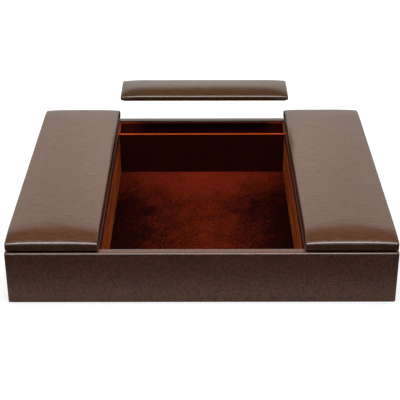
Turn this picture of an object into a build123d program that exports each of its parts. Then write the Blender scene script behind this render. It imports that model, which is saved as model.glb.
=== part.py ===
from build123d import *
from math import atan2, degrees
import os

# Desk organizer: a low box wrapped in leatherette and lined in suede. An open tray lies between
# two side bays, with a narrow slot behind it. Each bay has a padded lid hinged along its outer
# edge. A padded strip lid covers the slot; it is drawn lifted off, above its seat.
#
# Millimetres. X runs left to right, Y front to back and Z up. The origin is the middle of the
# underside, on the table.

# Box
box_width = 440.0
box_depth = 380.0
rim_height = 64.0
wall_board = 9.0
corner_radius = 3.0
rim_outer_radius = 2.0
rim_inner_radius = 1.0

# Covering materials
wrap = 0.75
wall_turn_in = 15.0
foot_chamfer = 0.75
felt = 1.0
felt_inset = 6.0

# Inside of the box
base_board = 3.0
floor_lining = 1.0
side_lining = 2.0
lining_drop = 2.0
tray_width = 230.0
partition_board = 6.5
partition_turn_in = 12.0
divider = 4.0
slot_depth = 35.5

# Bay lids
lid_inset = 1.0
lid_front_inset = 2.8
lid_gap = 2.6
lid_edge = 7.8
lid_crown = 7.6
lid_rolled_edge = 2.4
lid_side_shoulder = 24.0
lid_end_shoulder = 38.0
lid_board = 5.5
lid_corner_radius = 3.0
lid_lower_chamfer = 1.0
lid_turn_in = 14.0
lid_lining_inset = 3.0
seat_clearance = 0.15

# Strip lid over the slot
strip_gap = 2.0
strip_overhang = 5.0
strip_edge = 5.2
strip_crown = 3.5
strip_rolled_edge = 2.0
strip_side_shoulder = 26.0
strip_end_shoulder = 26.0
strip_board = 2.5
strip_corner_radius = 2.5
strip_lower_chamfer = 0.9
strip_turn_in = 10.0
strip_plug = 3.0
strip_plug_inset = 3.0
strip_plug_clearance = 0.5
strip_lift = 50.25
strip_drift = 3.5

# Hinges
hinge_length = 38.0
hinge_spacing = 220.0
hinge_axis_inset = 0.5
hinge_leaf = 0.9
hinge_leaf_depth = 8.0
knuckle_count = 3
knuckle_gap = 0.2
barrel_clearance = 0.05
barrel_to_leaf = 0.15
pin_radius = 0.6
pin_clearance = 0.05
pin_head_radius = 1.0
pin_head = 0.4
recess_clearance = 0.5

# Hinge screws
screw_radius = 0.7
screw_head_radius = 1.4
screw_head = 0.6
screw_length = 6.0
screw_clearance = 0.03
screw_pitch = 22.0
screw_setback = 5.0
screw_sides = 8

# Levels
board_bottom = felt + wrap
floor_bottom = felt + base_board
floor_top = floor_bottom + floor_lining
lining_top = rim_height - lining_drop
lid_bottom = rim_height + lid_gap
strip_bottom = lining_top + seat_clearance + strip_plug
hinge_axis_z = rim_height + lid_gap / 2

# Half widths and half depths
outer_x = box_width / 2
outer_y = box_depth / 2
inner_x = outer_x - wall_board - 2 * wrap
inner_y = outer_y - wall_board - 2 * wrap
tray_x = tray_width / 2
bay_x = tray_x + partition_board + 2 * wrap
divider_back = inner_y - side_lining - slot_depth
divider_front = divider_back - divider
lid_outer_x = outer_x - lid_inset
lid_front = lid_front_inset - outer_y
lid_back = outer_y - lid_inset
hinge_axis_x = outer_x - hinge_axis_inset

# How much further than a cut's target its tool reaches, so that no skin is left
through = 5.0


def slab(x, y, z):
    """A box between three pairs of limits."""
    centre = Pos(sum(x) / 2, sum(y) / 2, sum(z) / 2)
    return centre * Box(abs(x[1] - x[0]), abs(y[1] - y[0]), abs(z[1] - z[0]))


def rounded_slab(half_x, half_y, z, radius):
    """A plate with rounded upright corners, centred on the origin."""
    plan = Pos(0, 0, z[0]) * RectangleRounded(2 * half_x, 2 * half_y, radius)
    return extrude(plan, z[1] - z[0])


def top_edges(solid):
    return solid.edges().group_by(Axis.Z)[-1]


def bottom_edges(solid):
    return solid.edges().group_by(Axis.Z)[0]


def side_name(sign, name):
    """The name of a piece on the left (-1) or the right (1)."""
    return ("left_" if sign < 0 else "right_") + name


def across(sign, low, high):
    """Limits along X for a piece on the left (-1) or the right (1)."""
    return (sign * low, sign * high)


parts = {}


# Hinges: two butt hinges for each bay lid, lying in the gap between the rim and the lid.
# Each has interleaved knuckles round a headed pin, and two countersunk screws in each leaf.
hinge_places = (-hinge_spacing / 2, hinge_spacing / 2)
barrel_radius = lid_gap / 2 - barrel_clearance


def on_hinge_axis(sign, y, length, radius):
    """A round bar along a lid's hinge axis."""
    bar = Cylinder(radius, length, rotation=(90, 0, 0))
    return Pos(sign * hinge_axis_x, y, hinge_axis_z) * bar


def screw_places(sign):
    """The screws of one lid's leaves."""
    x = sign * (hinge_axis_x - screw_setback)
    return [(x, hinge + end * screw_pitch / 2) for hinge in hinge_places for end in (-1, 1)]


def screw_blank(grow):
    """A countersunk screw, head up, with its flat at Z = 0. It is small, so it has few sides."""
    flat = RegularPolygon(screw_head_radius + grow, screw_sides, major_radius=False)
    neck = Pos(0, 0, -screw_head) * RegularPolygon(screw_radius + grow, screw_sides, major_radius=False)
    flare = degrees(atan2(screw_head_radius - screw_radius, screw_head))
    head = extrude(flat, screw_head, dir=(0, 0, -1), taper=flare)
    return head + extrude(neck, screw_length + grow - screw_head, dir=(0, 0, -1))


def screws(sign, facing, grow=0.0):
    """The screws of one lid: facing 1 for those in the box, -1 for those in the lid."""
    blank = screw_blank(grow)
    flat = rim_height + hinge_leaf
    if facing < 0:
        blank = Rot(180, 0, 0) * blank
        flat = lid_bottom - hinge_leaf
    return [Pos(x, y, flat) * blank for x, y in screw_places(sign)]


def hinge_leaves(sign, facing):
    """The leaves on one side's box (facing 1) or lid (facing -1), with every other knuckle."""
    inner = hinge_axis_x - hinge_leaf_depth
    clear = hinge_axis_x - barrel_radius - barrel_to_leaf
    levels = (rim_height, rim_height + hinge_leaf) if facing > 0 else (lid_bottom - hinge_leaf, lid_bottom)
    pitch = hinge_length / knuckle_count
    first = 0 if facing > 0 else 1
    leaves = []
    for place in hinge_places:
        low = place - hinge_length / 2
        leaf = slab(across(sign, inner, clear), (low, low + hinge_length), levels)
        for index in range(first, knuckle_count, 2):
            start = low + index * pitch + knuckle_gap / 2
            end = start + pitch - knuckle_gap
            leaf += slab(across(sign, clear, hinge_axis_x), (start, end), levels)
            leaf += on_hinge_axis(sign, (start + end) / 2, end - start, barrel_radius)
        leaf -= on_hinge_axis(sign, place, hinge_length + through, pin_radius + pin_clearance)
        leaves.append(leaf)
    holes = screws(sign, facing, screw_clearance)
    return [leaf - holes for leaf in leaves]


def hinge_pins(sign):
    """The headed pins, one to a hinge."""
    pins = []
    for place in hinge_places:
        pin = on_hinge_axis(sign, place, hinge_length, pin_radius)
        for end in (-1, 1):
            head_at = place + end * (hinge_length + pin_head) / 2
            pin += on_hinge_axis(sign, head_at, pin_head, pin_head_radius)
        pins.append(pin)
    return pins


for sign in (-1, 1):
    parts[side_name(sign, "hinge_base_leaves")] = hinge_leaves(sign, 1)
    parts[side_name(sign, "hinge_lid_leaves")] = hinge_leaves(sign, -1)
    parts[side_name(sign, "hinge_pins")] = hinge_pins(sign)
    parts[side_name(sign, "hinge_base_screws")] = screws(sign, 1)
    parts[side_name(sign, "hinge_lid_screws")] = screws(sign, -1)


# Base: felt, base board, four wall boards and the leatherette round them
def wall_frame():
    """The four wall boards as one frame, with its outer top edge eased for the wrap."""
    half_x = outer_x - wrap
    half_y = outer_y - wrap
    frame = rounded_slab(half_x, half_y, (board_bottom, rim_height - wrap), corner_radius - wrap)
    frame = fillet(top_edges(frame), rim_outer_radius - wrap)
    well_x = (-inner_x - wrap, inner_x + wrap)
    well_y = (-inner_y - wrap, inner_y + wrap)
    return frame - slab(well_x, well_y, (0, rim_height))


def base_wrapping(frame):
    """The leatherette: up the outside, over the rim and down the inside behind the linings."""
    fold = rim_height - wall_turn_in
    skin = rounded_slab(outer_x, outer_y, (felt, rim_height), corner_radius)
    skin = fillet(top_edges(skin), rim_outer_radius)
    skin = chamfer(bottom_edges(skin), foot_chamfer)
    skin -= slab((-inner_x, inner_x), (-inner_y, inner_y), (fold, rim_height))
    inner_rim = [edge for edge in top_edges(skin)
                 if abs(edge.center().X) <= inner_x and abs(edge.center().Y) <= inner_y]
    skin = fillet(inner_rim, rim_inner_radius)
    well_x = (-inner_x - wrap, inner_x + wrap)
    well_y = (-inner_y - wrap, inner_y + wrap)
    return skin - slab(well_x, well_y, (0, fold)) - frame


frame = wall_frame()
pilot_holes = screws(-1, 1, screw_clearance) + screws(1, 1, screw_clearance)
parts["base_wrap"] = base_wrapping(frame) - pilot_holes
frame -= pilot_holes
all_levels = (0, rim_height)
for sign, name in ((-1, "front_wall_board"), (1, "back_wall_board")):
    parts[name] = frame & slab((-outer_x, outer_x), across(sign, inner_y + wrap, outer_y), all_levels)
for sign in (-1, 1):
    between = (-inner_y - wrap, inner_y + wrap)
    side_board = frame & slab(across(sign, inner_x + wrap, outer_x), between, all_levels)
    parts[side_name(sign, "wall_board")] = side_board
parts["base_felt"] = rounded_slab(outer_x - felt_inset, outer_y - felt_inset, (0, felt), corner_radius)
parts["base_board"] = slab((-inner_x - wrap, inner_x + wrap), (-inner_y - wrap, inner_y + wrap),
                           (felt, floor_bottom))


# Partitions and the divider
for sign in (-1, 1):
    board_x = across(sign, tray_x + wrap, bay_x - wrap)
    board = slab(board_x, (-inner_y, inner_y), (floor_bottom, rim_height - wrap))
    strip = slab(across(sign, tray_x, bay_x), (-inner_y, inner_y), (rim_height - partition_turn_in, rim_height))
    long_edges = top_edges(strip).filter_by(Axis.Y)
    parts[side_name(sign, "partition_board")] = board
    parts[side_name(sign, "partition_wrap")] = fillet(long_edges, rim_inner_radius) - board
parts["slot_divider"] = slab((-tray_x, tray_x), (divider_front, divider_back), (floor_bottom, lining_top))


# Suede linings: in each well a floor with upright boards standing on it
def line_well(name, x, y, sides):
    """Linings of a well between X and Y limits; sides names its upright linings."""
    x = sorted(x)
    parts[name + "_floor_lining"] = slab(x, y, (floor_bottom, floor_top))
    upright = (floor_top, lining_top)
    between = (x[0] + side_lining, x[1] - side_lining)
    places = {
        "left": ((x[0], x[0] + side_lining), y),
        "right": ((x[1] - side_lining, x[1]), y),
        "front": (between, (y[0], y[0] + side_lining)),
        "back": (between, (y[1] - side_lining, y[1])),
    }
    for which in sides:
        parts[name + "_" + which + "_lining"] = slab(*places[which], upright)


line_well("tray", (-tray_x, tray_x), (-inner_y, divider_front), ("left", "right", "front"))
line_well("slot", (-tray_x, tray_x), (divider_back, inner_y), ("left", "right", "back"))
for sign in (-1, 1):
    line_well(side_name(sign, "bay"), across(sign, bay_x, inner_x), (-inner_y, inner_y),
              ("left", "right", "front", "back"))


# Padded lids: a board with foam on it, leatherette stretched over both and turned under, and a
# suede lining board on the underside
def arched_face(width, bottom, edge, crown, rolled, shoulder):
    """Upright edges that roll over a tight arc, then a wide one, on to a flat top."""
    half = width / 2
    shoulder = min(shoulder, half)
    wide = ((shoulder - rolled) ** 2 + crown**2 - rolled**2) / (2 * (crown - rolled))
    lean = degrees(atan2(shoulder - rolled, wide - crown))
    top = edge + crown
    outline = [
        Polyline((-half, edge), (-half, bottom), (half, bottom), (half, edge)),
        CenterArc((half - rolled, edge), rolled, 0, 90 - lean),
        CenterArc((half - shoulder, top - wide), wide, 90 - lean, lean),
        CenterArc((shoulder - half, top - wide), wide, 90, lean),
        CenterArc((rolled - half, edge), rolled, 90 + lean, 90 - lean),
    ]
    if shoulder < half:
        outline.append(Line((half - shoulder, top), (shoulder - half, top)))
    return make_face(outline)


def padded_block(width, depth, levels, crown, rolled, shoulders, corner):
    """A block with a crowned top, arched along both its width and its depth."""
    bottom, edge = levels
    across_width = arched_face(width, bottom, edge, crown, rolled, shoulders[0])
    across_depth = arched_face(depth, bottom, edge, crown, rolled, shoulders[1])
    along_y = Pos(0, -depth / 2, 0) * extrude(Plane.XZ * across_width, depth, dir=(0, 1, 0))
    along_x = Pos(-width / 2, 0, 0) * extrude(Plane.YZ * across_depth, width, dir=(1, 0, 0))
    return along_y & along_x & rounded_slab(width / 2, depth / 2, (bottom, edge + crown), corner)


def padded_lid(width, depth, bottom, edge, crown, rolled, shoulders, corner, lower, board, turn_in):
    """Board, pad and wrap of a lid, centred on the origin in plan."""
    outside = padded_block(width, depth, (bottom, bottom + edge), crown, rolled, shoulders, corner)
    outside = chamfer(bottom_edges(outside), lower)
    inner_shoulders = [shoulder - wrap for shoulder in shoulders]
    inside = padded_block(width - 2 * wrap, depth - 2 * wrap, (bottom + wrap, bottom + edge), crown - wrap,
                          rolled - wrap, inner_shoulders, corner - wrap)
    board_top = bottom + wrap + board
    half_x = width / 2
    half_y = depth / 2
    below = slab((-half_x, half_x), (-half_y, half_y), (bottom, board_top))
    opening = slab((turn_in - half_x, half_x - turn_in), (turn_in - half_y, half_y - turn_in),
                   (bottom - through, board_top))
    return inside & below, inside - below, outside - inside - opening


def bay_lid(sign):
    """The padded lid over one bay, with its lining let in round the hinge leaves."""
    width = lid_outer_x - tray_x
    shoulders = (lid_side_shoulder, lid_end_shoulder)
    board, pad, cover = padded_lid(width, lid_back - lid_front, lid_bottom, lid_edge, lid_crown,
                                   lid_rolled_edge, shoulders, lid_corner_radius, lid_lower_chamfer,
                                   lid_board, lid_turn_in)
    middle = Pos(sign * (tray_x + width / 2), (lid_front + lid_back) / 2, 0)
    holes = screws(sign, -1, screw_clearance)
    lining = slab(across(sign, tray_x + lid_lining_inset, lid_outer_x - lid_lining_inset),
                  (lid_front + lid_lining_inset, lid_back - lid_lining_inset),
                  (rim_height + seat_clearance, lid_bottom))
    for place in hinge_places:
        reach = hinge_length / 2 + recess_clearance
        inner = hinge_axis_x - hinge_leaf_depth - recess_clearance
        lining -= slab(across(sign, inner, outer_x), (place - reach, place + reach), (rim_height, lid_bottom))
    return middle * board - holes, middle * pad, middle * cover - holes, lining


for sign in (-1, 1):
    for name, piece in zip(("lid_board", "lid_pad", "lid_wrap", "lid_lining"), bay_lid(sign)):
        parts[side_name(sign, name)] = piece

strip_half_x = tray_x - strip_gap
strip_front = divider_front - strip_overhang
strip_centre_y = (strip_front + lid_back) / 2
lifted = Pos(strip_drift, 0, strip_lift)
strip_pieces = padded_lid(2 * strip_half_x, lid_back - strip_front, strip_bottom, strip_edge, strip_crown,
                          strip_rolled_edge, (strip_side_shoulder, strip_end_shoulder), strip_corner_radius,
                          strip_lower_chamfer, strip_board, strip_turn_in)
for name, piece in zip(("strip_board", "strip_pad", "strip_wrap"), strip_pieces):
    parts[name] = lifted * Pos(0, strip_centre_y, 0) * piece
parts["strip_plug"] = lifted * slab((strip_plug_inset - strip_half_x, strip_half_x - strip_plug_inset),
                                    (strip_front + strip_plug_inset, inner_y - strip_plug_clearance),
                                    (strip_bottom - strip_plug, strip_bottom))


os.makedirs("parts", exist_ok=True)
for name, shape in parts.items():
    solids = ShapeList(shape).solids() if isinstance(shape, list) else shape.solids()
    export_step(solids[0] if len(solids) == 1 else Compound(solids), f"parts/{name}.step")
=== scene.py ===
import math

import bmesh
import bpy
from mathutils import Matrix, Vector, noise


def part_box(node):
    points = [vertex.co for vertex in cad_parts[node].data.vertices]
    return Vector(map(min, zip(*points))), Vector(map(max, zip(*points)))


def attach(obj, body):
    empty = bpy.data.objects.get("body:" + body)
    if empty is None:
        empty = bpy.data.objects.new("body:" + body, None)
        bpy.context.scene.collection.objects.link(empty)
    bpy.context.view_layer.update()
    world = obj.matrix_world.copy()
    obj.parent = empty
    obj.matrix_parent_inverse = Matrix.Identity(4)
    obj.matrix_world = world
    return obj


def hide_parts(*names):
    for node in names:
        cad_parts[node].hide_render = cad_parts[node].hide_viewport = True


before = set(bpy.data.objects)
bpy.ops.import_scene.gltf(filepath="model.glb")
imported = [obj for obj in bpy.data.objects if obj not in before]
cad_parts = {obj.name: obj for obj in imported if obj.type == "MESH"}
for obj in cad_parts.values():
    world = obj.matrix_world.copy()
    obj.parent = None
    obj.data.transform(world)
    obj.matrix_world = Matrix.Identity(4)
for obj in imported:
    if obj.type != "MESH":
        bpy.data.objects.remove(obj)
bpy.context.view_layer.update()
mm = 0.001


# ---- Boards -------------------------------------------------------------------------------------
# The stiff inside of the box, the partitions and the lids is medium density fibreboard, sawn and
# sanded. Leatherette and suede cover it nearly everywhere, so it shows only in the screw holes.

def linear(hex_colour):
    """An sRGB colour such as #593826 as linear red, green and blue, with alpha."""
    channels = [int(hex_colour[i:i + 2], 16) / 255 for i in (1, 3, 5)]
    return [c / 12.92 if c <= 0.04045 else ((c + 0.055) / 1.055) ** 2.4 for c in channels] + [1.0]


def new_material(name):
    """An empty node material and its tree."""
    material = bpy.data.materials.new(name)
    material.use_nodes = True
    material.node_tree.nodes.clear()
    return material, material.node_tree


def add(tree, kind, settings, inputs):
    """Adds a node with its settings; an input given as (node, output) is linked."""
    node = tree.nodes.new(kind)
    for name, value in settings.items():
        setattr(node, name, value)
    for name, value in inputs.items():
        if isinstance(value, tuple):
            tree.links.new(value[0].outputs[value[1]], node.inputs[name])
        else:
            node.inputs[name].default_value = value
    return node


def fibreboard():
    """Fibreboard, sawn and sanded: matt and tan, with short darker fibres."""
    material, tree = new_material("fibreboard_sanded")
    fibre_length = 1.5 * mm
    place = add(tree, "ShaderNodeTexCoord", {}, {})
    fibres = add(tree, "ShaderNodeTexNoise", {},
                 {"Vector": (place, "Object"), "Scale": 1 / fibre_length, "Detail": 6.0})
    colour = add(tree, "ShaderNodeMix", {"data_type": "RGBA"},
                 {0: (fibres, "Fac"), 6: linear("#8f6b45"), 7: linear("#b8946a")})
    surface = add(tree, "ShaderNodeBsdfPrincipled", {}, {"Base Color": (colour, 2), "Roughness": 0.9})
    add(tree, "ShaderNodeOutputMaterial", {}, {"Surface": (surface, "BSDF")})
    return material


def finish_node(name, material):
    """Gives a carried-over piece its finish."""
    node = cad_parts[name]
    node.data.materials.clear()
    node.data.materials.append(material)
    return node


board = fibreboard()
for name in ("base_board", "front_wall_board", "back_wall_board", "left_wall_board", "right_wall_board",
             "left_partition_board", "right_partition_board", "left_lid_board", "right_lid_board",
             "strip_board"):
    finish_node(name, board)


# ---- Box wrap -----------------------------------------------------------------------------------
# One skin of brown polyurethane leatherette, embossed with a fine grain. It is glued to the wall
# boards and runs over the eased rim and down inside, behind the linings. Strips of it fold over the
# two partitions, in a less glossy copy made darker as painted shade between the lids and the linings.

def leatherette(name, pale, deep, gloss, coat, stretch):
    """Embossed polyurethane on cloth: brown and satin under a clear coat, with low ripples in it.

    The real grain is 0.3 to 0.5 mm across, too fine to show, so pebbles and ripples are drawn
    coarser. A stretch under 1 draws the ripples out along X, as a cover pulled tight shows them.
    """
    material, tree = new_material(name)
    pebble = 1.6 * mm
    ripple = 2.2 * mm
    place = add(tree, "ShaderNodeTexCoord", {}, {})
    along = add(tree, "ShaderNodeMapping", {}, {"Vector": (place, "Object"), "Scale": [stretch, 1, 1]})
    ripples = add(tree, "ShaderNodeTexNoise", {},
                  {"Vector": (along, "Vector"), "Scale": 1 / ripple, "Detail": 3.0, "Roughness": 0.6})
    pebbles = add(tree, "ShaderNodeTexVoronoi", {"feature": "SMOOTH_F1"},
                  {"Vector": (place, "Object"), "Scale": 1 / pebble})
    worn = add(tree, "ShaderNodeTexNoise", {},
               {"Vector": (place, "Object"), "Scale": 1 / pebble, "Detail": 3.0, "Roughness": 0.6})
    tone = add(tree, "ShaderNodeMix", {"data_type": "FLOAT"},
               {0: 0.6, 2: (ripples, "Fac"), 3: (worn, "Fac")})
    mottle = add(tree, "ShaderNodeMapRange", {},
                 {"Value": (tone, 0), "From Min": 0.40, "From Max": 0.60, "To Min": 0.0, "To Max": 1.0})
    colour = add(tree, "ShaderNodeMix", {"data_type": "RGBA"},
                 {0: (mottle, "Result"), 6: linear(deep), 7: linear(pale)})
    low = add(tree, "ShaderNodeBump", {},
              {"Height": (ripples, "Fac"), "Strength": 0.9, "Distance": 0.18 * mm})
    relief = add(tree, "ShaderNodeBump", {},
                 {"Height": (pebbles, "Distance"), "Strength": 0.5, "Distance": 0.12 * mm,
                  "Normal": (low, "Normal")})
    surface = add(tree, "ShaderNodeBsdfPrincipled", {},
                  {"Base Color": (colour, 2), "Roughness": gloss, "IOR": 1.5, "Specular IOR Level": 0.35,
                   "Coat Weight": 1.0, "Coat Roughness": coat, "Coat IOR": 1.6,
                   "Normal": (relief, "Normal")})
    add(tree, "ShaderNodeOutputMaterial", {}, {"Surface": (surface, "BSDF")})
    return material


def make_piece(name, form, material, body, stands_for):
    """A finished mesh piece that rides on a body and stands for the named plain ones."""
    bmesh.ops.recalc_face_normals(form, faces=form.faces)
    mesh = bpy.data.meshes.new(name)
    form.to_mesh(mesh)
    form.free()
    mesh.materials.append(material)
    mesh.shade_smooth()
    piece = bpy.data.objects.new(name, mesh)
    bpy.context.scene.collection.objects.link(piece)
    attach(piece, body)
    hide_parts(*stands_for)
    return piece


def block(low, high):
    """A bmesh box between two corners."""
    form = bmesh.new()
    bmesh.ops.create_cube(form, size=1)
    bmesh.ops.scale(form, verts=form.verts, vec=high - low)
    bmesh.ops.translate(form, verts=form.verts, vec=(low + high) / 2)
    return form


def edges_where(form, test):
    """The edges whose two ends both pass a test."""
    return [edge for edge in form.edges if test(edge.verts[0].co) and test(edge.verts[1].co)]


def upright_edges(form):
    """The edges that run up and down."""
    return [edge for edge in form.edges if abs(edge.verts[0].co.z - edge.verts[1].co.z) > mm]


def ease(form, edges, radius, segments):
    """Rounds edges to a radius."""
    bmesh.ops.bevel(form, geom=edges, offset=radius, segments=segments, profile=0.5, affect="EDGES",
                    material=-1)


def slice_at(form, place, across):
    """Cuts new edges into a form along a plane."""
    bmesh.ops.bisect_plane(form, geom=form.verts[:] + form.edges[:] + form.faces[:], plane_co=place,
                           plane_no=across)


def moved_verts(geometry):
    """The vertices among what an extrusion returns."""
    return [item for item in geometry if isinstance(item, bmesh.types.BMVert)]


def box_wrap(low, high):
    """The walls' skin, as one sheet that the Solidify modifier thickens inwards."""
    foot_fold = 0.6 * mm
    rim_swell = 0.4 * mm
    wall = 10.5 * mm
    turn_in = 15 * mm
    corner = 3 * mm
    outer_edge = 2.2 * mm
    inner_edge = 1.2 * mm
    foot_edge = 0.7 * mm
    low.z -= foot_fold
    high.z += rim_swell
    form = block(low, high)
    ease(form, upright_edges(form), corner, segments=6)
    ease(form, edges_where(form, lambda p: p.z > high.z - hair), outer_edge, segments=5)
    ease(form, edges_where(form, lambda p: p.z < low.z + hair), foot_edge, segments=3)
    well = Vector((high.x - wall, high.y - wall, 0))
    for side in (-1, 1):
        slice_at(form, (side * well.x, 0, 0), (1, 0, 0))
    for side in (-1, 1):
        slice_at(form, (0, side * well.y, 0), (0, 1, 0))

    def in_well(p):
        return abs(p.x) < well.x + hair and abs(p.y) < well.y + hair

    open_faces = [f for f in form.faces if all(in_well(v.co) for v in f.verts)]
    bmesh.ops.delete(form, geom=open_faces, context="FACES")
    rim = [e for e in edges_where(form, lambda p: in_well(p) and p.z > high.z - hair) if e.is_boundary]
    folded = bmesh.ops.extrude_edge_only(form, edges=rim)["geom"]
    bmesh.ops.translate(form, verts=moved_verts(folded), vec=(0, 0, -turn_in))
    ease(form, rim, inner_edge, segments=3)
    return form


hair = 0.01 * mm
leather_thickness = 0.75 * mm
wall_leather = leatherette("leatherette_glued_on_board", "#704530", "#45291d", gloss=0.34, coat=0.18,
                           stretch=1.0)
wrap = make_piece("box_wrap", box_wrap(*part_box("base_wrap")), wall_leather, "base",
                  ["base_wrap"])
skin = wrap.modifiers.new("Skin", "SOLIDIFY")
skin.thickness = leather_thickness
skin.offset = -1
wrap.modifiers.new("Flats", "WEIGHTED_NORMAL")
# A darker copy of the leatherette: painted shade where the partitions lie between lid and lining.
partition_shade_leather = leatherette("leatherette_partition_painted_shade", "#2e1c13", "#1c110b", gloss=0.5, coat=0.4,
                           stretch=1.0)
for side in ("left", "right"):
    finish_node(side + "_partition_wrap", partition_shade_leather)


# ---- Foot felt ----------------------------------------------------------------------------------
# A sheet of dark brown wool felt, pressed, cut a little smaller than the box and glued under its
# base board, so that the box slides on a desk and doesn't scratch it.

def pressed_felt():
    """Pressed felt: matt and dark, with tangled short fibres, drawn thicker than wool to show."""
    material, tree = new_material("felt_pressed_wool")
    fibre = 0.8 * mm
    place = add(tree, "ShaderNodeTexCoord", {}, {})
    fibres = add(tree, "ShaderNodeTexNoise", {},
                 {"Vector": (place, "Object"), "Scale": 1 / fibre, "Detail": 8.0})
    colour = add(tree, "ShaderNodeMix", {"data_type": "RGBA"},
                 {0: (fibres, "Fac"), 6: linear("#1a1310"), 7: linear("#3a2c25")})
    relief = add(tree, "ShaderNodeBump", {},
                 {"Height": (fibres, "Fac"), "Strength": 0.8, "Distance": 0.3 * mm})
    surface = add(tree, "ShaderNodeBsdfPrincipled", {},
                  {"Base Color": (colour, 2), "Roughness": 1.0, "Specular IOR Level": 0.2,
                   "Normal": (relief, "Normal")})
    add(tree, "ShaderNodeOutputMaterial", {}, {"Surface": (surface, "BSDF")})
    return material


finish_node("base_felt", pressed_felt())


# ---- Linings ------------------------------------------------------------------------------------
# Thin boards covered in russet microfibre suede, cut to fit and glued into each well. The cloth is
# folded over their top edges, which are given a colour of their own: a pale one, painted highlight, on
# most linings, and a dark one, painted shade, on the combed side linings and the lid linings.

def suede(name, pale, deep, edge, top, side_shade_to=None, combed=False):
    """Brushed microfibre: no shine, soft blotches where the nap lies two ways, a fold of its own colour.

    The real fibres are finer than 0.1 mm, so they and the brush strokes are drawn coarser. A combed
    lining has long strokes along Y. Given a side distance, the colour is painted darker from the middle
    out to that distance along X, as painted shade towards the side walls, and paler towards the back,
    as painted light.
    """
    material, tree = new_material(name)
    blotch = 26 * mm
    stroke = 11 * mm if combed else 4 * mm
    fibre = 1.8 * mm
    stroke_stretch = 0.1 if combed else 1.0
    stroke_share = 0.9 if combed else 0.35
    fibre_share = 0.25 if combed else 0.6
    back_light_from = 20 * mm
    back_light_to = 135 * mm
    fold_low = 0.9 * mm
    fold_high = 0.1 * mm
    place = add(tree, "ShaderNodeTexCoord", {}, {})
    blotches = add(tree, "ShaderNodeTexNoise", {},
                   {"Vector": (place, "Object"), "Scale": 1 / blotch, "Detail": 5.0, "Roughness": 0.62})
    along = add(tree, "ShaderNodeMapping", {},
                {"Vector": (place, "Object"), "Scale": [1, stroke_stretch, 1]})
    strokes = add(tree, "ShaderNodeTexNoise", {},
                  {"Vector": (along, "Vector"), "Scale": 1 / stroke, "Detail": 4.0, "Roughness": 0.7})
    fibres = add(tree, "ShaderNodeTexNoise", {},
                 {"Vector": (place, "Object"), "Scale": 1 / fibre, "Detail": 3.0})
    apart = add(tree, "ShaderNodeSeparateXYZ", {}, {"Vector": (place, "Object")})
    brushed = add(tree, "ShaderNodeMix", {"data_type": "FLOAT"},
                  {0: stroke_share, 2: (blotches, "Fac"), 3: (strokes, "Fac")})
    nap = add(tree, "ShaderNodeMix", {"data_type": "FLOAT"},
              {0: fibre_share, 2: (brushed, 0), 3: (fibres, "Fac")})
    height = (nap, 0)
    if side_shade_to:
        from_middle = add(tree, "ShaderNodeMath", {"operation": "ABSOLUTE"}, {0: (apart, "X")})
        # Painted shade: the colour darkens from the middle out towards the side walls.
        pressed = add(tree, "ShaderNodeMapRange", {"interpolation_type": "SMOOTHSTEP"},
                      {"Value": (from_middle, "Value"), "From Min": 0.0, "From Max": side_shade_to,
                       "To Min": -0.04, "To Max": -0.2})
        # Painted light: the colour pales towards the back.
        back_light = add(tree, "ShaderNodeMapRange", {"interpolation_type": "SMOOTHSTEP"},
                     {"Value": (apart, "Y"), "From Min": back_light_from, "From Max": back_light_to,
                      "To Min": 0.0, "To Max": 0.18})
        nap = add(tree, "ShaderNodeMath", {"operation": "ADD"}, {0: height, 1: (pressed, "Result")})
        nap = add(tree, "ShaderNodeMath", {"operation": "ADD"}, {0: (nap, "Value"), 1: (back_light, "Result")})
        height = (nap, "Value")
    lean = add(tree, "ShaderNodeMapRange", {},
               {"Value": height, "From Min": 0.34, "From Max": 0.68, "To Min": 0.0, "To Max": 1.0})
    cloth = add(tree, "ShaderNodeMix", {"data_type": "RGBA"},
                {0: (lean, "Result"), 6: linear(deep), 7: linear(pale)})
    # The fold colour is painted light: pale as a painted highlight on the top edges, dark as painted shade
    # beneath a lid.
    fold = add(tree, "ShaderNodeMapRange", {"interpolation_type": "SMOOTHSTEP"},
               {"Value": (apart, "Z"), "From Min": top - fold_low, "From Max": top - fold_high,
                "To Min": 0.0, "To Max": 1.0})
    colour = add(tree, "ShaderNodeMix", {"data_type": "RGBA"},
                 {0: (fold, "Result"), 6: (cloth, 2), 7: linear(edge)})
    relief = add(tree, "ShaderNodeBump", {},
                 {"Height": (strokes, "Fac"), "Strength": 0.5, "Distance": 0.4 * mm})
    surface = add(tree, "ShaderNodeBsdfPrincipled", {},
                  {"Base Color": (colour, 2), "Roughness": 1.0, "Specular IOR Level": 0.03,
                   "Sheen Weight": 0.02, "Sheen Roughness": 0.5, "Sheen Tint": linear("#c05a30"),
                   "Normal": (relief, "Normal")})
    add(tree, "ShaderNodeOutputMaterial", {}, {"Surface": (surface, "BSDF")})
    return material


def softened(node, material, body):
    """A covered board: the plain one with all its edges eased, as folded cloth leaves them."""
    form = bmesh.new()
    form.from_mesh(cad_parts[node].data)
    bmesh.ops.remove_doubles(form, verts=form.verts, dist=same_point)
    bmesh.ops.dissolve_limit(form, angle_limit=math.radians(1), verts=form.verts, edges=form.edges)
    ease(form, form.edges[:], cloth_radius, segments=3)
    piece = make_piece(node + "_suede", form, material, body, [node])
    piece.modifiers.new("Flats", "WEIGHTED_NORMAL")


same_point = 0.001 * mm
cloth_radius = 0.45 * mm
lining_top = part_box("tray_left_lining")[1].z
# The floor suede's colour holds painted shade towards the side walls and painted light towards the back.
floor_suede = suede("suede_floor_painted_light_and_shade", "#72200d", "#130201", "#9d3a1a", lining_top,
                    side_shade_to=110 * mm)
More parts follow.
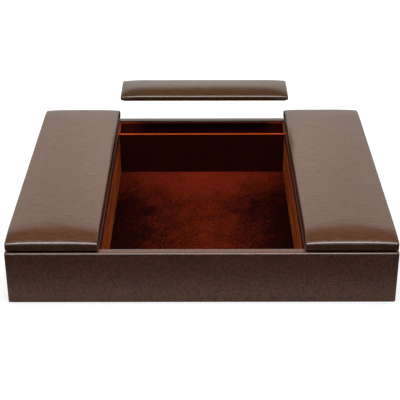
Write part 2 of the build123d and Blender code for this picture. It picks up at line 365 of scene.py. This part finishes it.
# Its dark fold colour is painted shade under the lid's overhang.
side_suede = suede("suede_combed_sides", "#dc6c32", "#3a0c04", "#3c1006", lining_top, combed=True)
end_suede = suede("suede_end_linings", "#7a2e16", "#5a1a0a", "#c04c22", lining_top)
# Painted shade: the slot, its divider and the strip's plug get a near-black copy of the suede for the shade
# they stand in.
painted_shade_suede = suede("suede_divider_and_slot_painted_shade", "#3c0c06", "#220402", "#c04c22", lining_top)
for well in ("tray", "slot", "left_bay", "right_bay"):
    softened(well + "_floor_lining", painted_shade_suede if well == "slot" else floor_suede, "base")
    for side in ("left", "right", "front", "back"):
        name = well + "_" + side + "_lining"
        combed = side in ("left", "right") and well != "slot"
        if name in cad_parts:
            softened(name, side_suede if combed else end_suede, "base")
softened("slot_divider", painted_shade_suede, "base")


# ---- Hinges -------------------------------------------------------------------------------------
# Two small brass butt hinges to each bay lid, with headed pins, lying in the gap under its outer
# edge. Each leaf is held by two countersunk brass screws, cut, polished and worn dull.

def brass():
    """Yellow brass, drawn and polished, a little dull from handling, with fine lines along it.

    The real lines are a few hundredths of a millimetre apart, so they are drawn coarser to show.
    """
    material, tree = new_material("brass_drawn_polished")
    line = 0.25 * mm
    place = add(tree, "ShaderNodeTexCoord", {}, {})
    along = add(tree, "ShaderNodeMapping", {}, {"Vector": (place, "Object"), "Scale": [1, 0.05, 1]})
    lines = add(tree, "ShaderNodeTexNoise", {},
                {"Vector": (along, "Vector"), "Scale": 1 / line, "Detail": 3.0})
    dulled = add(tree, "ShaderNodeMapRange", {},
                 {"Value": (lines, "Fac"), "From Min": 0.0, "From Max": 1.0, "To Min": 0.28, "To Max": 0.5})
    colour = add(tree, "ShaderNodeMix", {"data_type": "RGBA"},
                 {0: (lines, "Fac"), 6: linear("#c79a48"), 7: linear("#ecca7c")})
    surface = add(tree, "ShaderNodeBsdfPrincipled", {},
                  {"Base Color": (colour, 2), "Metallic": 1.0, "Roughness": (dulled, "Result")})
    add(tree, "ShaderNodeOutputMaterial", {}, {"Surface": (surface, "BSDF")})
    return material


def slotted_screw():
    """One countersunk screw, head up, with its seat at z = 0: a turned blank with a sawn slot."""
    length = 6.0 * mm
    point = 1.5 * mm
    tip_radius = 0.3 * mm
    neck_radius = 0.9 * mm
    sunk = 1.1 * mm
    head_radius = 1.5 * mm
    dome_radius = 1.1 * mm
    dome_edge = 0.2 * mm
    dome_top = 0.26 * mm
    slot_half = 0.22 * mm
    slot_depth = 0.45 * mm
    form = bmesh.new()
    outline = [(0, -length), (tip_radius, -length), (neck_radius, point - length), (neck_radius, -sunk),
               (head_radius, 0), (dome_radius, dome_edge), (0, dome_top)]
    points = [form.verts.new((x, 0, z)) for x, z in outline]
    for first, second in zip(points, points[1:]):
        form.edges.new((first, second))
    bmesh.ops.spin(form, geom=form.verts[:] + form.edges[:], cent=(0, 0, 0), axis=(0, 0, 1),
                   angle=2 * math.pi, steps=20, use_merge=True)
    bmesh.ops.remove_doubles(form, verts=form.verts, dist=same_point)
    for side in (-1, 1):
        slice_at(form, (0, side * slot_half, 0), (0, 1, 0))
    sawn = [f for f in form.faces
            if abs(f.calc_center_median().y) < slot_half and f.calc_center_median().z > 0]
    sunk_faces = bmesh.ops.extrude_face_region(form, geom=sawn)["geom"]
    bmesh.ops.translate(form, verts=moved_verts(sunk_faces), vec=(0, 0, -slot_depth))
    blank = bpy.data.meshes.new("screw_blank")
    form.to_mesh(blank)
    form.free()
    return blank


def screws_in(name, node, facing, body):
    """The four screws of a row of leaves, facing up (1) or down (-1), each left at its own turn."""
    low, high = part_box(node)
    row = (low.x + high.x) / 2
    seat = high.z if facing > 0 else low.z
    slot_turns = (20, 75, 140, 100)
    places = [hinge * hinges_apart / 2 + end * screws_apart / 2 for hinge in (-1, 1) for end in (-1, 1)]
    form = bmesh.new()
    for turn, y in zip(slot_turns, places):
        before = len(form.verts)
        form.from_mesh(screw_blank)
        form.verts.ensure_lookup_table()
        screw = form.verts[before:]
        bmesh.ops.rotate(form, verts=screw, matrix=Matrix.Rotation(math.radians(turn), 3, "Z"))
        if facing < 0:
            bmesh.ops.rotate(form, verts=screw, matrix=Matrix.Rotation(math.pi, 3, "X"))
        bmesh.ops.translate(form, verts=screw, vec=(row, y, seat))
    piece = make_piece(name, form, hinge_brass, body, [node])
    piece.data.set_sharp_from_angle(angle=math.radians(35))


hinges_apart = 220 * mm
screws_apart = 22 * mm
hinge_brass = brass()
screw_blank = slotted_screw()
for side in ("left", "right"):
    for name in ("_hinge_base_leaves", "_hinge_lid_leaves", "_hinge_pins"):
        finish_node(side + name, hinge_brass)
    screws_in(side + "_rim_screws", side + "_hinge_base_screws", 1, "base")
    screws_in(side + "_lid_screws", side + "_hinge_lid_screws", -1, side + "_lid")


# ---- Padded lids --------------------------------------------------------------------------------
# Each lid is a board with soft foam on it and leatherette stretched over both, pulled round the
# edges and glued underneath. The foam swells the skin into a low crown that rolls off at the ends.

def arch(inward, crown, rolloff):
    """The skin's rise at a distance in from its edge: a tight roll, then a wide arc, then level."""
    shoulder, roll, rise = rolloff
    slope = 2 * (crown - rise) / (shoulder - roll)
    if inward >= shoulder:
        return crown
    if inward >= roll:
        return crown - (crown - rise) * ((shoulder - inward) / (shoulder - roll)) ** 2
    part = inward / roll
    return (rise - slope * roll) * math.sqrt(max(0.0, 1 - (1 - part) ** 2)) + slope * roll * part


def ring_places(low, high, shoulder, turns, pitch):
    """Where the skin's mesh is cut: close together on the roll-off and even between."""
    crowding = 1.4
    inward = [shoulder * (1 - math.cos(math.pi / 2 * (i / turns) ** crowding))
              for i in range(1, turns + 1)]
    level = high - low - 2 * shoulder
    count = max(1, round(level / pitch))
    middle = [low + shoulder + level * i / count for i in range(1, count)]
    return [low + d for d in inward] + middle + [high - d for d in reversed(inward)]


def swollen(piece, glued, pressure, travel):
    """Foam pushing the skin out: cloth under pressure, held where it is glued, its travel capped."""
    group = piece.vertex_groups.new(name="glued")
    for index, weight in glued.items():
        group.add([index], weight, "REPLACE")
    cloth = piece.modifiers.new("Swell", "CLOTH")
    cloth.settings.quality = 6
    cloth.settings.mass = 0.3
    cloth.settings.tension_stiffness = 18
    cloth.settings.compression_stiffness = 18
    cloth.settings.shear_stiffness = 10
    cloth.settings.bending_stiffness = 1.5
    cloth.settings.use_pressure = True
    cloth.settings.uniform_pressure_force = pressure
    cloth.settings.vertex_group_mass = "glued"
    cloth.settings.effector_weights.gravity = 0
    last_frame = 20
    cloth.point_cache.frame_start = 1
    cloth.point_cache.frame_end = last_frame
    scene = bpy.context.scene
    for step in range(1, last_frame + 1):
        scene.frame_set(step)
    shaped = piece.evaluated_get(bpy.context.evaluated_depsgraph_get())
    moved = [v.co.copy() for v in shaped.data.vertices]
    piece.modifiers.remove(cloth)
    scene.frame_set(1)
    for vertex, place in zip(piece.data.vertices, moved):
        way = place - vertex.co
        vertex.co += way * min(1.0, travel / max(way.length, 1e-9))
    piece.vertex_groups.clear()


def padded_cover(name, nodes, body, material, swell, crown, sides, ends, corner, lower, pitch):
    """A lid's skin with the foam in it: a crowned closed form with eased corners and foot.

    swell says how far it stands out past the plain skin at each end, above and below. sides and
    ends each give the distance in to the level top, the width of the tight roll and its rise.
    """
    fill = 0.92
    pressure = 4.0
    glue_fade = 5 * mm
    glued_edge = 0.5 * mm
    side_turns = 11
    end_turns = 12
    sway = 0.10 * mm
    sway_long = 45 * mm
    sway_short = 22 * mm
    low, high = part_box(nodes[0])
    endwise, above, below = swell
    low -= Vector((0, endwise, below))
    high += Vector((0, endwise, above))
    edge = high.z - crown
    form = block(low, Vector((high.x, high.y, edge)))
    ease(form, upright_edges(form), corner, segments=5)
    ease(form, edges_where(form, lambda p: p.z < low.z + hair), lower, segments=3)
    for x in ring_places(low.x, high.x, sides[0], side_turns, pitch):
        slice_at(form, (x, 0, 0), (1, 0, 0))
    for y in ring_places(low.y, high.y, ends[0], end_turns, pitch):
        slice_at(form, (0, y, 0), (0, 1, 0))
    for vertex in form.verts:
        if vertex.co.z > edge - hair:
            x_in = min(vertex.co.x - low.x, high.x - vertex.co.x)
            y_in = min(vertex.co.y - low.y, high.y - vertex.co.y)
            vertex.co.z += fill * arch(x_in, crown, sides) * arch(y_in, crown, ends) / crown
    piece = make_piece(name, form, material, body, nodes)
    glued = {}
    for vertex in piece.data.vertices:
        x_in = min(vertex.co.x - low.x, high.x - vertex.co.x)
        y_in = min(vertex.co.y - low.y, high.y - vertex.co.y)
        free = min(1.0, max(0.0, (min(x_in, y_in) - glued_edge) / glue_fade))
        glued[vertex.index] = 1.0 if vertex.co.z <= edge + hair else 1.0 - free
    swollen(piece, glued, pressure, (1 - fill) * crown)
    for vertex in piece.data.vertices:
        spot = Vector((vertex.co.x / sway_long, vertex.co.y / sway_short, 0.0))
        vertex.co.z += sway * (1.0 - glued[vertex.index]) * noise.noise(spot)
    smooth = piece.modifiers.new("Smooth", "SUBSURF")
    smooth.levels = 1
    smooth.render_levels = 1


lid_leather = leatherette("leatherette_stretched_over_foam", "#643c22", "#402513", gloss=0.30, coat=0.22,
                          stretch=0.18)
# The strip has the lids' leatherette, in a darker, more olive copy: the darkness is painted shade.
strip_shaded_leather = leatherette("leatherette_strip_painted_shade", "#55371c", "#36220f", gloss=0.30, coat=0.22,
                            stretch=0.18)
lid_lining_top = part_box("left_lid_lining")[1].z
# Its dark fold colour is painted shade in the gap under the lid.
lid_suede = suede("suede_lid_linings", "#7a2e16", "#4a1408", "#2a0a05", lid_lining_top)
for side in ("left", "right"):
    nodes = [side + "_lid_wrap", side + "_lid_pad"]
    padded_cover(side + "_lid_cover", nodes, side + "_lid", lid_leather, swell=(1.2 * mm, 1.2 * mm, 0),
                 crown=9.5 * mm, sides=(34 * mm, 1.5 * mm, 7 * mm), ends=(30 * mm, 3.6 * mm, 4.9 * mm),
                 corner=2 * mm, lower=1.5 * mm, pitch=6 * mm)
    softened(side + "_lid_lining", lid_suede, side + "_lid")
padded_cover("strip_lid_cover", ["strip_wrap", "strip_pad"], "strip_lid", strip_shaded_leather,
             swell=(1.5 * mm, 3.2 * mm, 0.5 * mm), crown=8 * mm, sides=(30 * mm, 2 * mm, 5 * mm),
             ends=(27.5 * mm, 3 * mm, 3.6 * mm), corner=2 * mm, lower=1.2 * mm, pitch=5 * mm)
softened("strip_plug", painted_shade_suede, "strip_lid")


# ---- Stage --------------------------------------------------------------------------------------
# A matt white floor under a wide soft bank, with a dark card on it that only gloss sees. Low warm
# panels behind the box put a fading sheen on the lids, and two more panels light its upper edges.

def beyond_walls(tree, place):
    """How far a point of the floor lies outside the box."""
    apart = add(tree, "ShaderNodeSeparateXYZ", {}, {"Vector": (place, "Object")})
    outside = []
    for axis, half in (("X", box_half.x), ("Y", box_half.y)):
        from_middle = add(tree, "ShaderNodeMath", {"operation": "ABSOLUTE"}, {0: (apart, axis)})
        outside.append(add(tree, "ShaderNodeMath", {"operation": "SUBTRACT"},
                           {0: (from_middle, "Value"), 1: half}))
    return add(tree, "ShaderNodeMath", {"operation": "MAXIMUM"},
               {0: (outside[0], "Value"), 1: (outside[1], "Value")})


def pale_floor():
    """A matt white sweep: it looks white to the camera and in gloss, and keeps the soft shadow.

    Matt surfaces get light back only from close beside the box, so the walls stay dark.
    """
    material, tree = new_material("floor_matt_white")
    place = add(tree, "ShaderNodeTexCoord", {}, {})
    away = add(tree, "ShaderNodeVectorMath", {"operation": "LENGTH"}, {0: (place, "Object")})
    rise = add(tree, "ShaderNodeMapRange", {"interpolation_type": "SMOOTHSTEP"},
               {"Value": (away, "Value"), "From Min": 0.3, "From Max": 0.9, "To Min": 0.62, "To Max": 1.0})
    glow = add(tree, "ShaderNodeEmission", {}, {"Strength": (rise, "Result")})
    lit = add(tree, "ShaderNodeBsdfDiffuse", {}, {"Color": linear("#b8b8b8")})
    seen = add(tree, "ShaderNodeAddShader", {}, {0: (glow, "Emission"), 1: (lit, "BSDF")})
    dim = add(tree, "ShaderNodeMapRange", {"interpolation_type": "SMOOTHSTEP"},
              {"Value": (beyond_walls(tree, place), "Value"), "From Min": 30 * mm, "From Max": 110 * mm,
               "To Min": 1.0, "To Max": 0.04})
    bounce = add(tree, "ShaderNodeBsdfDiffuse", {}, {"Color": (dim, "Result")})
    path = add(tree, "ShaderNodeLightPath", {}, {})
    direct = add(tree, "ShaderNodeMath", {"operation": "MAXIMUM"},
                 {0: (path, "Is Camera Ray"), 1: (path, "Is Glossy Ray")})
    direct = add(tree, "ShaderNodeMath", {"operation": "MAXIMUM"},
                 {0: (direct, "Value"), 1: (path, "Is Transmission Ray")})
    surface = add(tree, "ShaderNodeMixShader", {},
                  {0: (direct, "Value"), 1: (bounce, "BSDF"), 2: (seen, "Shader")})
    add(tree, "ShaderNodeOutputMaterial", {}, {"Surface": (surface, "Shader")})
    material.cycles.emission_sampling = "NONE"
    return material


def dark_card():
    """Black felt under and round the box, paler close to it, so the walls' gloss pales at the foot."""
    material, tree = new_material("card_black_felt")
    place = add(tree, "ShaderNodeTexCoord", {}, {})
    fade = add(tree, "ShaderNodeMapRange", {"interpolation_type": "SMOOTHSTEP"},
               {"Value": (beyond_walls(tree, place), "Value"), "From Min": 0.0, "From Max": 75 * mm,
                "To Min": 0.0, "To Max": 1.0})
    colour = add(tree, "ShaderNodeMix", {"data_type": "RGBA"},
                 {0: (fade, "Result"), 6: linear("#86807c"), 7: linear("#222222")})
    surface = add(tree, "ShaderNodeBsdfDiffuse", {}, {"Color": (colour, 2)})
    add(tree, "ShaderNodeOutputMaterial", {}, {"Surface": (surface, "BSDF")})
    return material


def staged_sheet(name, half, height, material):
    """A square sheet on the stage."""
    form = bmesh.new()
    bmesh.ops.create_grid(form, x_segments=1, y_segments=1, size=half)
    bmesh.ops.translate(form, verts=form.verts, vec=(0, 0, height))
    mesh = bpy.data.meshes.new(name)
    form.to_mesh(mesh)
    form.free()
    mesh.materials.append(material)
    sheet = bpy.data.objects.new(name, mesh)
    bpy.context.scene.collection.objects.link(sheet)
    return sheet


box_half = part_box("base_wrap")[1]
staged_sheet("floor", half=8, height=0, material=pale_floor())
card = staged_sheet("dark_card", half=1.5, height=0.5 * mm, material=dark_card())
card.visible_camera = False
card.visible_shadow = False
card.visible_diffuse = False


def soft_panel(name, centre, aim, size, radiance, matt=True, gloss=True, tint=(1, 1, 1)):
    """A soft box of a given radiance turned towards a point, for matt light, for gloss or for both."""
    width, depth = size
    light = bpy.data.lights.new(name, "AREA")
    light.color = tint
    light.shape = "RECTANGLE"
    light.size = width
    light.size_y = depth
    light.energy = radiance * math.pi * width * depth
    panel = bpy.data.objects.new(name, light)
    panel.location = centre
    panel.rotation_euler = (Vector(aim) - Vector(centre)).to_track_quat("-Z", "Y").to_euler()
    panel.visible_diffuse = matt
    panel.visible_glossy = gloss
    bpy.context.scene.collection.objects.link(panel)


# Places in metres. The bank lights matt surfaces from above, and the shine beside it is seen only
# in gloss, as the bright line where a lid rolls off.
soft_panel("overhead_bank", centre=(0, -0.22, 1.1), aim=(0, -0.22, 0), size=(1.3, 0.8), radiance=5.0,
           gloss=False)
soft_panel("overhead_shine", centre=(0, -0.37, 1.1), aim=(0, -0.37, 0), size=(1.3, 0.5), radiance=5.0,
           matt=False)

# Warm panels stand one in front of another behind the box and add up, so that the sheen is
# brightest in the middle and fades out to the sides and upwards.
rear_distance = 2.0
rear_step = 0.01
rear_tint = (1.0, 0.90, 0.78)
rear_panels = (
    {"width": 3.2, "foot": 0.3, "top": 1.75, "radiance": 0.11},
    {"width": 3.0, "foot": 0.3, "top": 1.55, "radiance": 0.11},
    {"width": 2.8, "foot": 0.6, "top": 1.42, "radiance": 0.11},
    {"width": 0.9, "foot": 0.6, "top": 1.30, "radiance": 0.08},
    {"width": 0.6, "foot": 0.6, "top": 1.30, "radiance": 0.07},
    {"width": 0.3, "foot": 0.6, "top": 1.30, "radiance": 0.07},
)
for index, panel in enumerate(rear_panels):
    middle = (panel["foot"] + panel["top"]) / 2
    soft_panel("rear_panel", centre=(0, rear_distance - rear_step * index, middle), aim=(0, 0, middle),
               size=(panel["width"], panel["top"] - panel["foot"]), radiance=panel["radiance"],
               tint=rear_tint)

# One panel fills the matt surfaces from behind, and one draws the front edges of the lids in gloss.
soft_panel("rear_top", centre=(0, 1.0, 1.2), aim=(0, 0.1, 0.05), size=(1.6, 0.6), radiance=2.6, gloss=False)
soft_panel("edge_light", centre=(0, -0.94, 1.13), aim=(0, -0.19, 0.06), size=(1.3, 0.6), radiance=6.0,
           matt=False)


def studio_world():
    """The room: white to the camera and through glass, and a low pale backdrop to gloss."""
    world = bpy.data.worlds.new("studio")
    world.use_nodes = True
    tree = world.node_tree
    tree.nodes.clear()
    place = add(tree, "ShaderNodeTexCoord", {}, {})
    apart = add(tree, "ShaderNodeSeparateXYZ", {}, {"Vector": (place, "Generated")})
    backdrop = add(tree, "ShaderNodeMapRange", {"interpolation_type": "SMOOTHSTEP"},
                   {"Value": (apart, "Z"), "From Min": 0.5, "From Max": 0.72, "To Min": 0.4, "To Max": 0.03})
    path = add(tree, "ShaderNodeLightPath", {}, {})
    glossy = add(tree, "ShaderNodeMix", {"data_type": "FLOAT"},
                 {0: (path, "Is Glossy Ray"), 2: 0.03, 3: (backdrop, "Result")})
    direct = add(tree, "ShaderNodeMath", {"operation": "MAXIMUM"},
                 {0: (path, "Is Camera Ray"), 1: (path, "Is Transmission Ray")})
    strength = add(tree, "ShaderNodeMath", {"operation": "MAXIMUM"}, {0: (direct, "Value"), 1: (glossy, 0)})
    light = add(tree, "ShaderNodeBackground", {}, {"Strength": (strength, "Value")})
    add(tree, "ShaderNodeOutputWorld", {}, {"Surface": (light, "Background")})
    world.cycles.sampling_method = "NONE"
    return world


bpy.context.scene.world = studio_world()
bpy.context.scene.view_settings.view_transform = "Standard"


# ---- Camera -------------------------------------------------------------------------------------
# In front of the box and above it, 1.24 m back and 0.68 m up, looking down a little less than
# thirty degrees.
sensor = 36.0
picture = 400
focal_pixels = 1091.9
stands_at = Vector((2.07, -1236.06, 677.21)) * mm
pitch_down = math.radians(27.559)
turned_right = math.radians(-0.206)
leaned = math.radians(-0.187)
camera_data = bpy.data.cameras.new("camera")
camera_data.sensor_width = sensor
camera_data.lens = focal_pixels / picture * sensor
camera_data.clip_start = 0.05
camera_data.clip_end = 50
camera = bpy.data.objects.new("camera", camera_data)
turn = (Matrix.Rotation(-turned_right, 4, "Z") @ Matrix.Rotation(math.pi / 2 - pitch_down, 4, "X")
        @ Matrix.Rotation(leaned, 4, "Z"))
camera.matrix_world = Matrix.Translation(stands_at) @ turn
bpy.context.scene.collection.objects.link(camera)
bpy.context.scene.camera = camera
